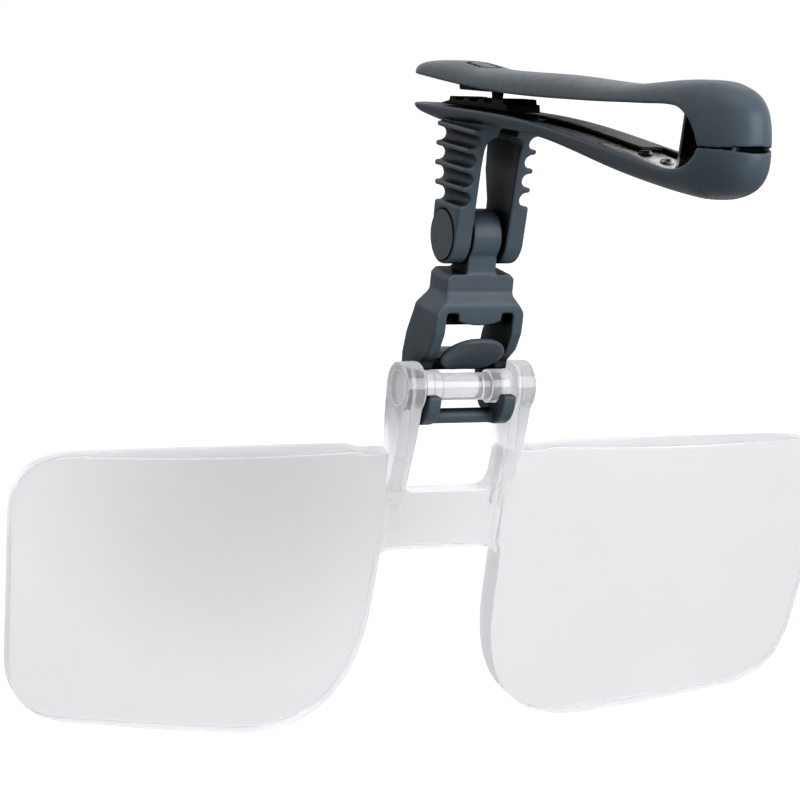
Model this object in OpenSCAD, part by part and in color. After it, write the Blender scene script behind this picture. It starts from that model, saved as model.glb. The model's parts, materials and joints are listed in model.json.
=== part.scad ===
// Clip-on hat magnifier: a spring clip for a cap's brim, a forked hanger, a swing link
// and a clear pair of plano-convex lenses that tilt on a snap-in bar.
// +Z is up, +X runs across the lenses, and +Y points from the clip's rear to its jaw tips,
// which is the way the brim leaves the clip. The origin lies between the grip pads.

/* [Clip] */
// Reach of the jaw tips in front of the grip point
tip_reach = 18.2; // [15:0.2:22]
// Distance from the grip point to the rear end of the clip
rear_reach = 63.4; // [59:0.2:72]
// Half of the clip's width along its jaws
clip_half_w = 4.5; // [4:0.1:6]
// Half of the clip's width at its rear bulb
bulb_half_w = 4.5; // [4.4:0.1:5.5]
// Length of the bulb's rounded rear end
bulb_len = 10; // [8:0.5:12]
// Height of the upper jaw's crown above the grip plane
crown_z = 3.8; // [3.2:0.1:5]
// Height of the bulb's top above the grip plane
bulb_top_z = 4.1; // [3.9:0.1:5]
// Depth of the bulb's underside below the grip plane
bulb_low_z = 9.1; // [8.5:0.1:10]
// Wall of the channel in each jaw
jaw_wall = 0.9; // [0.7:0.1:1.2]
// Depth of the channel in the lower jaw
lower_channel = 0.9; // [0.4:0.1:1.1]
// Depth of the channel in the upper jaw
upper_channel = 1.0; // [0.4:0.1:1.4]
// Angle of the relief behind the jaw pin on each jaw, for opening the clip
seam_relief = 5.6; // [5.3:0.1:7]

/* [Jaw pin] */
// Radius of the jaw pin
jaw_pin_r = 0.6; // [0.5:0.05:0.7]
// Distance from the clip's rear end to the jaw pin
jaw_pin_inset = 2.8; // [2.7:0.05:3]
// Radius of the pin's lugs
lug_r = 1.4; // [1.2:0.05:1.45]

/* [Grip pads] */
// Half of the width of the grip pads
pad_half_w = 2.3; // [2:0.1:3.2]
// Length of the lower grip pad
lower_pad_len = 18.6; // [16:0.2:20]
// Length of the upper grip pad
upper_pad_len = 8.6; // [7.6:0.2:9]
// Distance from the grip point to the rear of the lower pad
pad_rear = 7; // [6:0.2:9]
// Spacing of the ribs on the lower pad
rib_pitch = 4.1; // [3.2:0.1:4.6]
// Height of the ribs on the lower pad
rib_h = 0.6; // [0.3:0.05:0.7]

/* [Spring] */
// Thickness of the steel strip
strip_t = 0.5; // [0.3:0.05:0.6]
// Half of the width of the steel strip
strip_half_w = 2.4; // [1.8:0.1:2.8]
// Distance from the strip's upright bend to the clip's rear end
bend_inset = 12; // [11.5:0.1:14]
// Length of the strip's lower leaf
lower_leaf = 20; // [17:0.5:22]
// Length of the strip's upper leaf
upper_leaf = 16; // [12:0.5:20]

/* [Fork] */
// Distance of the fork's pivot behind the grip point, toward the wearer
pivot_y = 4.8; // [3:0.1:6]
// Depth of the fork's pivot below the grip plane
pivot_drop = 17.5; // [16.5:0.1:19]
// Lean of the fork legs from upright
fork_lean = 7; // [4:0.5:10]
// Half of the gap between the fork legs
fork_gap = 2.45; // [2.2:0.05:2.6]
// Half of the width over the ridges
fork_half_w = 4.75; // [4.6:0.05:5]
// Thickness of a leg between its ridges
leg_plate = 1.0; // [0.8:0.1:1.3]
// Spacing of the finger ridges on the legs
ridge_pitch = 2.45; // [2.2:0.05:2.7]
// Radius of the round foot of each leg
foot_r = 3.7; // [3.4:0.1:4]

/* [Fork pin] */
// Radius of the fork pin
fork_pin_r = 1.2; // [1:0.05:1.4]
// Radius of the pin's head and of its cap
head_r = 3.2; // [2.6:0.05:3.25]
// Running clearance on every pin and bar
run_gap = 0.05; // [0.02:0.01:0.08]
// Thickness of a friction washer
washer_t = 0.35; // [0.3:0.05:0.5]

/* [Swing link] */
// Length of the link from pivot to bar
link_len = 19.8; // [18.5:0.1:22]
// Lean of the link from upright
link_lean = 8; // [4:0.5:12]
// Radius of the link's knuckle
knuckle_r = 3.3; // [3:0.05:3.5]
// Half of the width of the link's shoulders
shoulder_half_w = 4.7; // [4.2:0.1:5]
// Half of the width of the link at its hips and cradle
hip_half_w = 6.15; // [5.75:0.05:6.25]
// Half of the width of the link's window
window_half_w = 4.6; // [4.2:0.1:4.7]
// Wall of the snap hooks round the bar
hook_wall = 1.5; // [1.2:0.1:1.8]
// Half of the width of the release tongue
tongue_half_w = 4.3; // [3.9:0.1:4.5]

/* [Lens frame] */
// Radius of the tilt bar
bar_r = 2.15; // [1.8:0.05:2.3]
// Radius of the tilt bar's waist, between its journals
waist_r = 1.75; // [1.4:0.05:2.1]
// Half of the gap between the clear arms
arm_gap = 6.35; // [6.3:0.05:6.7]
// Thickness of each clear arm
arm_t = 2.75; // [2.2:0.05:3.2]
// Radius of the boss at the top of each arm
boss_r = 3.3; // [3:0.1:3.6]
// Lean of the lenses from upright
lens_lean = 15; // [10:0.5:20]
// Drop from the bar to the top of the bridge
bridge_top = 14.3; // [13:0.1:16]
// Height of the bridge
bridge_h = 8.2; // [7:0.1:9]
// Thickness of the bridge
bridge_t = 2.4; // [2:0.1:3]

/* [Lenses] */
// Drop from the bar to the top edge of the lenses
lens_top = 8.3; // [7.5:0.1:10]
// Height of each lens
lens_h = 39.2; // [36:0.2:43]
// Distance from the middle to the outer edge of a lens
lens_reach = 58.8; // [54:0.2:62]
// Thickness of a lens at its thickest point
lens_t = 5.3; // [4.8:0.1:5.6]
// Radius of the convex face
lens_curve_r = 150; // [130:5:220]
// Angle by which each lens is turned toward the face
lens_wrap = 1; // [0:0.5:4]
// Radius of the outer top corner
top_corner = 8.5; // [6:0.5:10]
// Radius of the outer bottom corner
low_corner = 8; // [6:0.5:10]
// Size of the wide curve beside the nose
nose_corner = 16; // [12:0.5:18]

/* [Hidden] */
slate = "#4c5965";
rubber = "#17181a";
steel = "#c9ccd0";
clear = [0.88, 0.93, 0.95, 0.45];
far = 60;
eps = 0.01;

// Heights that both jaws share
seam_z = -3.2;
seam_gap = 0.08;
mouth_end_y = -(rear_reach - 6.3);
bulb_y = -(rear_reach - bulb_len);
jaw_pin_y = -(rear_reach - jaw_pin_inset);
tip_round = 4.5;
min_channel = 0.03;
max_channel = 1.4;
edge_wall = 0.9;
tip_power = 2.4;
plan_power = 2.1;
upper_rear_power = 3.6;
lower_rear_power = 2.9;
arch_shape = 2.7;
upright_y = -(rear_reach - bend_inset);
floor_rise = 0.4;

// A smooth curve through the points [place, value] of a short table
function span_of(t, p, i = 0) = i >= len(p) - 2 || t <= p[i + 1][0] ? i : span_of(t, p, i + 1);
function slope_at(p, i) =
    let (a = max(i - 1, 0), b = min(i + 1, len(p) - 1)) (p[b][1] - p[a][1]) / (p[b][0] - p[a][0]);
function smooth_at(t, p) =
    let (i = span_of(t, p), h = p[i + 1][0] - p[i][0], s = min(max((t - p[i][0]) / h, 0), 1))
    p[i][1] * (1 + 2 * s) * pow(1 - s, 2) + slope_at(p, i) * h * s * pow(1 - s, 2)
    + p[i + 1][1] * s * s * (3 - 2 * s) + slope_at(p, i + 1) * h * s * s * (s - 1);

// Share of the full size left at a rounded end, where s runs from 0 to 1 at the end
function end_round(s, power) = pow(max(1 - pow(max(s, 0), power), 0), 1 / power);
function tip_s(y) = (y - (tip_reach - tip_round)) / tip_round;
function rear_s(y) = (bulb_y - y) / bulb_len;

// Places along the clip where a jaw's section is drawn, from its tip to its rear
tip_stations = [for (a = [80, 66, 52, 38, 24, 10]) tip_reach - tip_round * (1 - sin(a))];
mouth_stations = [for (d = [8, 6.4, 4.9, 3.5, 2.3, 1.3, 0.6, 0.2, 0]) mouth_end_y + d];
function spread(a, b, n) = [for (k = [0 : n]) a + (b - a) * k / n];
step_y = upright_y + lower_leaf + 0.2;
bar_stations = concat(spread(tip_reach - tip_round - 1, step_y + 0.7, 9),
    spread(step_y, mouth_stations[0] + 2, 4));
rear_stations = [for (a = [5, 18, 31, 44, 56, 67, 77, 85])
    mouth_end_y - (rear_reach + mouth_end_y) * sin(a)];
stations = concat(tip_stations, bar_stations, mouth_stations, rear_stations);

half_w_table = [[-rear_reach, bulb_half_w], [-rear_reach * 0.85, bulb_half_w],
    [-rear_reach * 0.6, clip_half_w], [0, clip_half_w], [tip_reach, clip_half_w]];
function half_w(y) = smooth_at(y, half_w_table) * end_round(tip_s(y), tip_power)
    * end_round(rear_s(y), plan_power);

// Upper jaw: height of its crown and of its lower edge
crown_table = [[-rear_reach, bulb_top_z - 0.9], [-rear_reach * 0.93, bulb_top_z - 0.45],
    [-rear_reach * 0.86, bulb_top_z - 0.1], [-rear_reach * 0.78, bulb_top_z - 0.2],
    [-rear_reach * 0.58, crown_z - 0.8], [-rear_reach * 0.3, crown_z - 0.4],
    [0, crown_z - 0.3], [tip_reach * 0.46, crown_z + 0.4], [tip_reach, crown_z + 0.2]];
upper_edge_table = [[-rear_reach, seam_z], [mouth_end_y, seam_z + 0.3],
    [mouth_end_y + 0.6, seam_z + 1.6], [mouth_end_y + 2.3, seam_z + 3.3],
    [mouth_end_y + 4.9, 1.05], [-rear_reach * 0.7, 1], [-rear_reach * 0.5, 0.75],
    [-rear_reach * 0.2, 0.7], [0, 1.2], [tip_reach, 2.5]];
// Lower jaw: height of its upper edge and of its underside
lower_edge_table = [[-rear_reach, seam_z], [mouth_end_y, seam_z - 0.3],
    [mouth_end_y + 0.6, seam_z - 1.1], [mouth_end_y + 2.3, seam_z - 2.2],
    [mouth_end_y + 4.9, -5.9], [mouth_end_y + 8, -5.9], [-rear_reach * 0.56, -4.3],
    [-rear_reach * 0.3, -2.5], [-rear_reach * 0.1, -1.75], [tip_reach, -1.3]];
lower_side_table = [[-rear_reach, 0.6 - bulb_low_z], [-rear_reach * 0.93, 0.15 - bulb_low_z],
    [-rear_reach * 0.86, -bulb_low_z], [-rear_reach * 0.6, 1.6 - bulb_low_z],
    [-rear_reach * 0.28, -4.5], [-2, -3.7], [6, -4.1], [12, -3.4], [tip_reach, -2.2]];

function rear_round(y, z, power) = seam_z + (z - seam_z) * end_round(rear_s(y), power);
function behind_pin(y) = max(jaw_pin_y - y, 0);
function upper_edge(y) = y < mouth_end_y
    ? seam_z + seam_gap + behind_pin(y) * tan(seam_relief) : smooth_at(y, upper_edge_table);
function lower_edge(y) = y < mouth_end_y
    ? seam_z - seam_gap - behind_pin(y) * tan(seam_relief) : smooth_at(y, lower_edge_table);
function crown(y) = max(rear_round(y, smooth_at(y, crown_table), upper_rear_power),
    upper_edge(y) + edge_wall)
    - 0.8 * (1 - end_round(tip_s(y), tip_power));
function underside(y) = min(rear_round(y, smooth_at(y, lower_side_table), lower_rear_power),
    lower_edge(y) - edge_wall)
    + 0.4 * (1 - end_round(tip_s(y), tip_power));

// Channel depths: none at the tips and in the bulb
upper_depth_table = [[-rear_reach, 0], [mouth_end_y, 0], [mouth_end_y + 3, 0],
    [mouth_end_y + 7, upper_channel], [-14, upper_channel], [-9, 0], [tip_reach, 0]];
lower_depth_table = [[-rear_reach, 0], [mouth_end_y, 0], [mouth_end_y + 3, 0],
    [mouth_end_y + 7, lower_channel], [step_y + 0.1, lower_channel],
    [step_y + 0.6, floor_rise], [-10, floor_rise], [-8, 0], [tip_reach, 0]];
function depth_at(y, table) = max(min(smooth_at(y, table), max_channel), min_channel);

// One jaw section: a squarish arch from edge to edge, then the channel between its walls
arch_steps = 14;
function arch_power(a) = pow(abs(a), 2 / arch_shape) * sign(a);
function section(y, edge, outer, depth) =
    let (w = half_w(y), inner = max(w - jaw_wall, w * 0.6))
    concat(
        [for (k = [0 : arch_steps]) let (a = 180 * k / arch_steps)
            [w * arch_power(cos(a)), y, edge + (outer - edge) * arch_power(sin(a))]],
        [[-inner, y, edge], [-inner, y, edge + sign(outer - edge) * depth],
            [inner, y, edge + sign(outer - edge) * depth], [inner, y, edge]]);

// A closed skin over a row of sections with the same count of points, its ends closed
// by fans of triangles round a middle point
function middle_of(row) = let (n = len(row)) [for (k = [0 : 2]) sum_of(row, k) / n];
function sum_of(row, k, i = 0) = i == len(row) ? 0 : row[i][k] + sum_of(row, k, i + 1);
module skin(rows, flip) {
    n = len(rows[0]);
    m = len(rows);
    walls = [for (i = [0 : m - 2]) for (j = [0 : n - 1])
        let (a = i * n + j, b = i * n + (j + 1) % n)
        each [[a, b, b + n], [a, b + n, a + n]]];
    first = [for (j = [0 : n - 1]) [(j + 1) % n, j, m * n]];
    last = [for (j = [0 : n - 1]) [(m - 1) * n + j, (m - 1) * n + (j + 1) % n, m * n + 1]];
    faces = concat(walls, first, last);
    polyhedron(points = concat([for (r = rows) each r], [middle_of(rows[0]), middle_of(rows[m - 1])]),
        faces = flip ? [for (f = faces) [f[2], f[1], f[0]]] : faces);
}

module upper_shell() {
    skin([for (y = stations) section(y, upper_edge(y), crown(y), depth_at(y, upper_depth_table))],
        true);
}

module lower_shell() {
    skin([for (y = stations) section(y, lower_edge(y), underside(y),
        depth_at(y, lower_depth_table))], false);
}

// Frames that hang from the pivot and from the bar
module at_fork() {
    translate([0, pivot_y, -pivot_drop]) rotate([fork_lean, 0, 0]) children();
}

module at_pivot() {
    translate([0, pivot_y, -pivot_drop]) rotate([link_lean, 0, 0]) children();
}

bar_y = pivot_y + link_len * sin(link_lean);
bar_z = -pivot_drop - link_len * cos(link_lean);
module at_bar() {
    translate([0, bar_y, bar_z]) rotate([lens_lean, 0, 0]) children();
}

// A bar along X from x0 to x1, and a profile drawn in Y and Z and swept along X
module rod(r, x0, x1, segments = 48) {
    translate([x0, 0, 0]) rotate([0, 90, 0]) cylinder(r = r, h = x1 - x0, $fn = segments);
}

module along_x(x0, x1) {
    translate([x0, 0, 0]) rotate([90, 0, 90]) linear_extrude(x1 - x0) children();
}

// The same on both sides of the middle
module both_sides() {
    children();
    mirror([1, 0, 0]) children();
}

// Jaw pin lugs: the upper jaw's in the middle, the lower jaw's on either side of it
mid_lug = 1.1;
side_lug_out = 2.2;
lug_gap = 0.12;
module at_jaw_pin() {
    translate([0, jaw_pin_y, seam_z]) children();
}

module stadium(r, len) {
    square([2 * r, len], center = true);
    for (s = [-1, 1]) translate([0, s * len / 2]) circle(r = r, $fn = 40);
}

// Bare oval recess on the upper jaw's tip
oval_y = 5;
oval_r = 1.6;
oval_len = 3;
oval_ring = 0.5;
oval_depth = 0.3;
module oval_recess() {
    translate([0, oval_y, crown(oval_y) - oval_depth]) linear_extrude(3) difference() {
        stadium(oval_r, oval_len);
        stadium(oval_r - oval_ring, oval_len);
    }
}

module upper_jaw() {
    color(slate) difference() {
        union() {
            upper_shell();
            at_jaw_pin() rod(lug_r, -mid_lug, mid_lug);
        }
        at_jaw_pin() {
            both_sides() rod(lug_r + lug_gap, mid_lug + lug_gap, side_lug_out + lug_gap);
            rod(jaw_pin_r + run_gap, -side_lug_out, side_lug_out);
        }
        oval_recess();
    }
}

// Fork leg: its side outline in the fork's own frame, foot at the pivot
leg_back = 3.2;
leg_top = 15.4;
level_rise = 0.2;
ridge_tilt = 2.8;
arch_r = 1.2;
arch_z = 11.6;
foot_steps = 12;
module leg_side() {
    polygon(concat(
        [for (k = [0 : foot_steps]) let (a = 180 + 168 * k / foot_steps)
            [foot_r * cos(a), foot_r * sin(a)]],
        [[leg_back, 1.4], [leg_back, block_top], [leg_back + 1.2, block_top + 3.6],
            [leg_back + 1.5, leg_top - 0.7], [-7.4, leg_top + 0.3], [-6, leg_top - 2],
            [-5.1, leg_top - 4], [-4.7, leg_top - 6], [-4.25, 5]]));
}

// Fork leg seen from the front: plate, finger ridges and the block round the pin
block_half_w = 4.85;
block_top = 4;
first_scallop = block_top + 0.85;
scallop_r = 0.88;
neck_half_w = 4.2;
module leg_front() {
    plate_x = fork_gap + leg_plate;
    difference() {
        union() {
            translate([fork_gap, -foot_r - 1]) square([leg_plate, foot_r + leg_top + 4]);
            translate([fork_gap, -foot_r - 1])
                square([block_half_w - fork_gap, foot_r + block_top + 1]);
            translate([fork_gap, block_top - 1])
                square([fork_half_w - fork_gap, leg_top - block_top + 3]);
            difference() {
                translate([fork_gap - arch_r, arch_z]) square([arch_r + eps, leg_top - arch_z + 1]);
                translate([fork_gap - arch_r, arch_z]) circle(r = arch_r, $fn = 40);
            }
        }
        translate([neck_half_w, first_scallop + 3.9 * ridge_pitch]) square([far, far]);
        for (k = [0 : 4]) translate([plate_x + scallop_r, first_scallop + k * ridge_pitch]) {
            circle(r = scallop_r, $fn = 32);
            translate([0, -scallop_r]) square([fork_half_w, 2 * scallop_r]);
        }
    }
}

module fork_leg() {
    intersection() {
        along_x(fork_gap - arch_r, fork_half_w + 1) leg_side();
        rotate([-ridge_tilt, 0, 0]) translate([0, 10, level_rise]) rotate([90, 0, 0])
            linear_extrude(20) leg_front();
    }
}

head_t = 0.7;
head_face = block_half_w + 0.12;
module fork_bores() {
    rod(fork_pin_r + run_gap, -far, far);
    both_sides() rod(head_r + run_gap, head_face - head_t, far);
}

module lower_jaw() {
    color(slate) difference() {
        union() {
            lower_shell();
            at_fork() both_sides() fork_leg();
            at_jaw_pin() both_sides() rod(lug_r, mid_lug + lug_gap, side_lug_out);
        }
        at_jaw_pin() {
            rod(lug_r + lug_gap, -mid_lug - lug_gap, mid_lug + lug_gap);
            rod(jaw_pin_r, -side_lug_out, side_lug_out);
        }
        at_fork() fork_bores();
    }
}

module jaw_hinge_pin() {
    color(steel) at_jaw_pin() rod(jaw_pin_r, -side_lug_out + 0.1, side_lug_out - 0.1, 32);
}

// Steel strip: an upright with a leaf under the upper jaw and one on the lower jaw's floor
function lower_floor(y) = lower_edge(y) - depth_at(y, lower_depth_table);
function upper_roof(y) = upper_edge(y) + depth_at(y, upper_depth_table);
leaf_gap = 0.1;
bend_r = 1.2;
strip_lean = 1.3;
function strip_low_z(y) = lower_floor(y) + leaf_gap + strip_t / 2;
function strip_high_z(y) = upper_roof(y) - leaf_gap - strip_t / 2;
low_front = upright_y + lower_leaf;
low_back = upright_y + strip_lean + bend_r + 0.6;
high_front = upright_y + upper_leaf;
high_back = upright_y + bend_r + 0.2;
leaf_steps = 6;
strip_path = concat(
    [for (k = [0 : leaf_steps]) let (y = low_front + (low_back - low_front) * k / leaf_steps)
        [y, strip_low_z(y)]],
    [for (a = [250 : -20 : 190]) [upright_y + strip_lean + bend_r + bend_r * cos(a),
        strip_low_z(low_back) + 0.1 + bend_r + bend_r * sin(a)]],
    [for (a = [170 : -20 : 110]) [upright_y + bend_r + bend_r * cos(a),
        strip_high_z(high_back) - bend_r + bend_r * sin(a)]],
    [for (k = [0 : leaf_steps]) let (y = high_back + (high_front - high_back) * k / leaf_steps)
        [y, strip_high_z(y)]]);

function turn_left(d) = [-d[1], d[0]] / norm(d);
function side_dir(p, i) = turn_left(p[min(i + 1, len(p) - 1)] - p[max(i - 1, 0)]);
module ribbon(p, t) {
    polygon(concat(
        [for (i = [0 : len(p) - 1]) p[i] + side_dir(p, i) * t / 2],
        [for (i = [len(p) - 1 : -1 : 0]) p[i] - side_dir(p, i) * t / 2]));
}

rivet_r = 0.6;
rivet_h = 0.35;
rivet_y = [upright_y + lower_leaf * 0.4, upright_y + lower_leaf * 0.66];
module clip_spring() {
    color(steel) along_x(-strip_half_w, strip_half_w) ribbon(strip_path, strip_t);
}

// Black insert that holds the strip's front end down in the channel
retainer_tail = 5;
retainer_nose = 21;
retainer_steps = 12;
retainer_near = 0.4;
retainer_far = clip_half_w - jaw_wall - 0.35;
retainer_t = 0.35;
function strip_top(y) = lower_edge(y) - lower_channel + leaf_gap + strip_t + seam_gap;
function retainer_top(y) = max(lower_edge(y) + 0.15, strip_top(y) + retainer_t);
module retainer_side() {
    front = low_front + retainer_nose;
    back = low_front - retainer_tail;
    under = step_y + 0.8;
    polygon(concat(
        [for (y = spread(under, front, retainer_steps)) [y, lower_floor(y) + 0.12]],
        [for (y = spread(front, back, retainer_steps)) [y, retainer_top(y)]],
        [for (y = spread(back, under, 4)) [y, strip_top(y)]]));
}

module spring_retainer() {
    color(rubber) along_x(retainer_near, retainer_far) retainer_side();
}

module spring_rivets() {
    color(steel) for (y = rivet_y) translate([0, y, strip_low_z(y) + strip_t / 2 + 0.12])
        cylinder(r1 = rivet_r + 0.3, r2 = rivet_r, h = rivet_h, $fn = 24);
}

// Grip pads: a base that follows each jaw's edge, cross ribs on the lower one and one
// tooth on the upper one, where the jaws touch
pad_gap = 0.1;
base_z = -0.65;
upper_base_z = 0.65;
lower_pad_front = lower_pad_len - pad_rear;
upper_pad_front = pad_rear;
function ramp_z(y) = min(base_z, base_z - (y - lower_pad_front + 2.6) * 0.18);
module lower_pad_side() {
    polygon(concat(
        [for (y = spread(-pad_rear, lower_pad_front, 8)) [y, lower_edge(y) + pad_gap]],
        [for (y = spread(lower_pad_front, lower_pad_front - 2.6, 2)) [y, ramp_z(y)]],
        [[-pad_rear + 0.2, base_z]]));
}

module upper_pad_side() {
    back = upper_pad_front - upper_pad_len;
    polygon(concat([for (y = spread(upper_pad_front, back, 8)) [y, upper_edge(y) - pad_gap]],
        [[back, upper_base_z], [upper_pad_front - 0.4, upper_base_z]]));
}

rib_w = 1.9;
module pad_rib(y, z, w, h, half_w = pad_half_w) {
    along_x(-half_w, half_w) polygon([[y - w / 2, z], [y - w / 2 + 0.15, z + h],
        [y + w / 2 - 0.15, z + h], [y + w / 2, z]]);
}

first_rib = -pad_rear + 2.7;
tooth_y = first_rib + 0.6 + rib_pitch;
tooth_w = 1.2;
pad_meet = 0.05;
tooth_low = base_z - 0.2 + rib_h + pad_meet;
module lower_grip_pad() {
    color(rubber) union() {
        along_x(-pad_half_w, pad_half_w) lower_pad_side();
        pad_rib(first_rib, base_z - 0.1, 3.4, rib_h + 0.1);
        for (k = [1 : 3]) pad_rib(first_rib + 0.6 + k * rib_pitch, base_z - 0.1, rib_w, rib_h - 0.1);
    }
}

module upper_grip_pad() {
    color(rubber) union() {
        along_x(-pad_half_w, pad_half_w) upper_pad_side();
        pad_rib(tooth_y, upper_base_z + 0.1, tooth_w, tooth_low - upper_base_z - 0.1, tooth_w / 2);
    }
}

module fork_hinge_pin() {
    color(slate) at_fork() {
        rod(fork_pin_r, -head_face + head_t / 2, head_face - head_t / 2 - 0.1);
        rod(head_r, -head_face, -head_face + head_t - 0.02);
    }
}

module hinge_pin_cap() {
    color(slate) at_fork() difference() {
        rod(head_r, head_face - head_t + 0.02, head_face);
        rod(fork_pin_r, 0, head_face - head_t / 2 - 0.1);
    }
}

washer_r = fork_pin_r + 1.5;
washer_gap = 0.02;
module friction_washers() {
    color(rubber) at_pivot() both_sides() difference() {
        rod(washer_r, fork_gap - washer_t - washer_gap, fork_gap - washer_gap);
        rod(fork_pin_r + run_gap, 0, fork_gap);
    }
}

// Swing link: outlines in the link's own frame, with the pivot at the origin
knuckle_half_w = fork_gap - washer_t - 3 * washer_gap;
shoulder_top = -4.6;
hip_z = -10;
hook_x = 4.35;
bar_hole_r = bar_r + run_gap;
module link_side() {
    polygon([[-2.5, shoulder_top], [-2.5, -7], [-3.35, -8.4], [-3.4, hip_z], [-3.3, -12.2],
        [-2.2, -14.6], [-0.5, -16.1], [1, -17.4], [1, -link_len], [3.6, -link_len - 1.5], [5.6, -link_len],
        [5.9, -16.6], [5.2, -13.6], [3.8, -10.6], [2.7, -8], [2.7, shoulder_top]]);
}

module link_front() {
    polygon([[-shoulder_half_w + 0.6, shoulder_top], [-shoulder_half_w, shoulder_top - 0.6],
        [-shoulder_half_w, -7.4], [-hip_half_w, hip_z + 0.6], [-hip_half_w, -link_len - 3],
        [hip_half_w, -link_len - 3], [hip_half_w, hip_z + 0.6], [shoulder_half_w, -7.4],
        [shoulder_half_w, shoulder_top - 0.6], [shoulder_half_w - 0.6, shoulder_top]]);
}

module seen_from_front(y0, y1) {
    translate([0, y1, 0]) rotate([90, 0, 0]) linear_extrude(y1 - y0) children();
}

// Hooks that go behind the bar, under it and up in front of it
ear_top = 0.45;
hook_r = bar_hole_r + hook_wall;
hook_deep = 1.2;
ear_front = hook_r + 1.5;
ear_root = 3.4;
module hook_side() {
    difference() {
        union() {
            hull() {
                circle(r = hook_r, $fn = 64);
                translate([0, -hook_deep]) circle(r = hook_r, $fn = 64);
            }
            translate([0.3, 0]) square([ear_front - 0.3, ear_root]);
            intersection() {
                translate([ear_front - hook_r - 0.3, 0]) circle(r = hook_r + 0.5, $fn = 64);
                translate([0, -hook_r]) square([far, hook_r]);
            }
        }
        circle(r = bar_hole_r, $fn = 64);
        translate([-far, -ear_top]) square([far, far]);
    }
}

// Oval dished tongue above the bar
tongue_place = [0, -1.8, -15];
tongue_rise = 45;
tongue_len = 6.8;
module tongue() {
    translate(tongue_place) rotate([-tongue_rise, 0, 0]) mirror([0, 0, 1]) difference() {
        intersection() {
            translate([0, 0, -0.7]) linear_extrude(1.3) stadium_across();
            translate([0, 0, 11.3]) sphere(r = 12, $fn = 64);
        }
        translate([0, 0.2, 9.6]) sphere(r = 9.7, $fn = 64);
    }
}

module stadium_across() {
    rotate([0, 0, 90]) stadium(tongue_len / 2, 2 * tongue_half_w - tongue_len);
}

cross_bar_r = 1.0;
module swing_link() {
    color(slate) at_pivot() difference() {
        union() {
            rod(knuckle_r, -knuckle_half_w, knuckle_half_w);
            translate([-knuckle_half_w, -2.4, shoulder_top - 0.5])
                cube([2 * knuckle_half_w, 4.8, 0.5 - shoulder_top]);
            difference() {
                intersection() {
                    along_x(-far, far) link_side();
                    seen_from_front(-far, far) link_front();
                }
                seen_from_front(-far, far) window();
                seen_from_front(-far, pocket_back) pockets();
                translate([-hook_x, -far, -far - bridge_low]) cube([2 * hook_x, 2 * far, far]);
                translate([0, 0, -link_len]) rod(waist_r + 2 * run_gap, -far, far);
            }
            translate([0, 0, -link_len]) {
                both_sides() along_x(hook_x, hip_half_w) hook_side();
                translate([0, 0.2, -hook_r - hook_deep + cross_bar_r])
                    rod(cross_bar_r, -hip_half_w + 1, hip_half_w - 1);
            }
            tongue();
        }
        rod(fork_pin_r + run_gap, -far, far);
        translate([0, 0, -link_len]) both_sides()
            rod(bar_hole_r, waist_half_len - 2 * run_gap, far);
    }
}

// Window between the cheeks, pockets beside the curved lip at its top, and the underside
// of the cross piece that carries the tongue above the bar
window_top = -11.5;
lip_low = -10.8;
window_low = -15.9;
pocket_top = -9.5;
pocket_back = -1.1;
lip_half_w = 3;
bridge_low = 17.9;
module window() {
    translate([-window_half_w, window_low]) square([2 * window_half_w, window_top - window_low]);
}

module pockets() {
    difference() {
        translate([-window_half_w, window_top - eps])
            square([2 * window_half_w, pocket_top - window_top + eps]);
        intersection() {
            translate([-lip_half_w, lip_low - 1]) square([2 * lip_half_w, 3]);
            translate([0, lip_low + 7.4]) circle(r = 7.7, $fn = 64);
        }
    }
}

// Clear arm and bridge: outlines in the lens frame, with the bar's axis at the origin
arm_out = arm_gap + arm_t;
lens_back_y = 2.2;
bridge_back_y = 1.9;
module arm_side() {
    circle(r = boss_r, $fn = 64);
    polygon([[-2.75, 1], [-2.5, -6], [-1.7, -bridge_top + 2], [-0.8, -bridge_top - 2],
        [bridge_back_y - bridge_t, -bridge_top - bridge_h],
        [bridge_back_y, -bridge_top - bridge_h], [bridge_back_y, -bridge_top],
        [1.3, -9.5], [2.6, -4.5], [3.2, -1]]);
}

fillet_r = 2.5;
top_fillet_r = 1.6;
module nose_fillet() {
    translate([arm_out, -bridge_top - bridge_h]) difference() {
        translate([-fillet_r, -fillet_r]) square([fillet_r, fillet_r + eps]);
        translate([-fillet_r, -fillet_r]) circle(r = fillet_r, $fn = 48);
    }
    translate([arm_gap, -bridge_top]) difference() {
        translate([-top_fillet_r, -eps]) square([top_fillet_r + eps, top_fillet_r]);
        translate([-top_fillet_r, top_fillet_r]) circle(r = top_fillet_r, $fn = 40);
    }
}

module lens_yoke() {
    color(clear) at_bar() difference() {
        union() {
            both_sides() along_x(arm_gap, arm_out) arm_side();
            seen_from_front(bridge_back_y - bridge_t, bridge_back_y) {
                translate([-arm_out, -bridge_top - bridge_h]) square([2 * arm_out, bridge_h]);
                nose_fillet();
                mirror([1, 0]) nose_fillet();
            }
        }
        rod(bar_r, -far, far);
    }
}

waist_half_len = 3.5;
module tilt_bar() {
    color(clear) at_bar() {
        both_sides() rod(bar_r, waist_half_len, arm_out, 64);
        rod(waist_r, -waist_half_len - 0.1, waist_half_len + 0.1, 64);
    }
}

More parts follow.
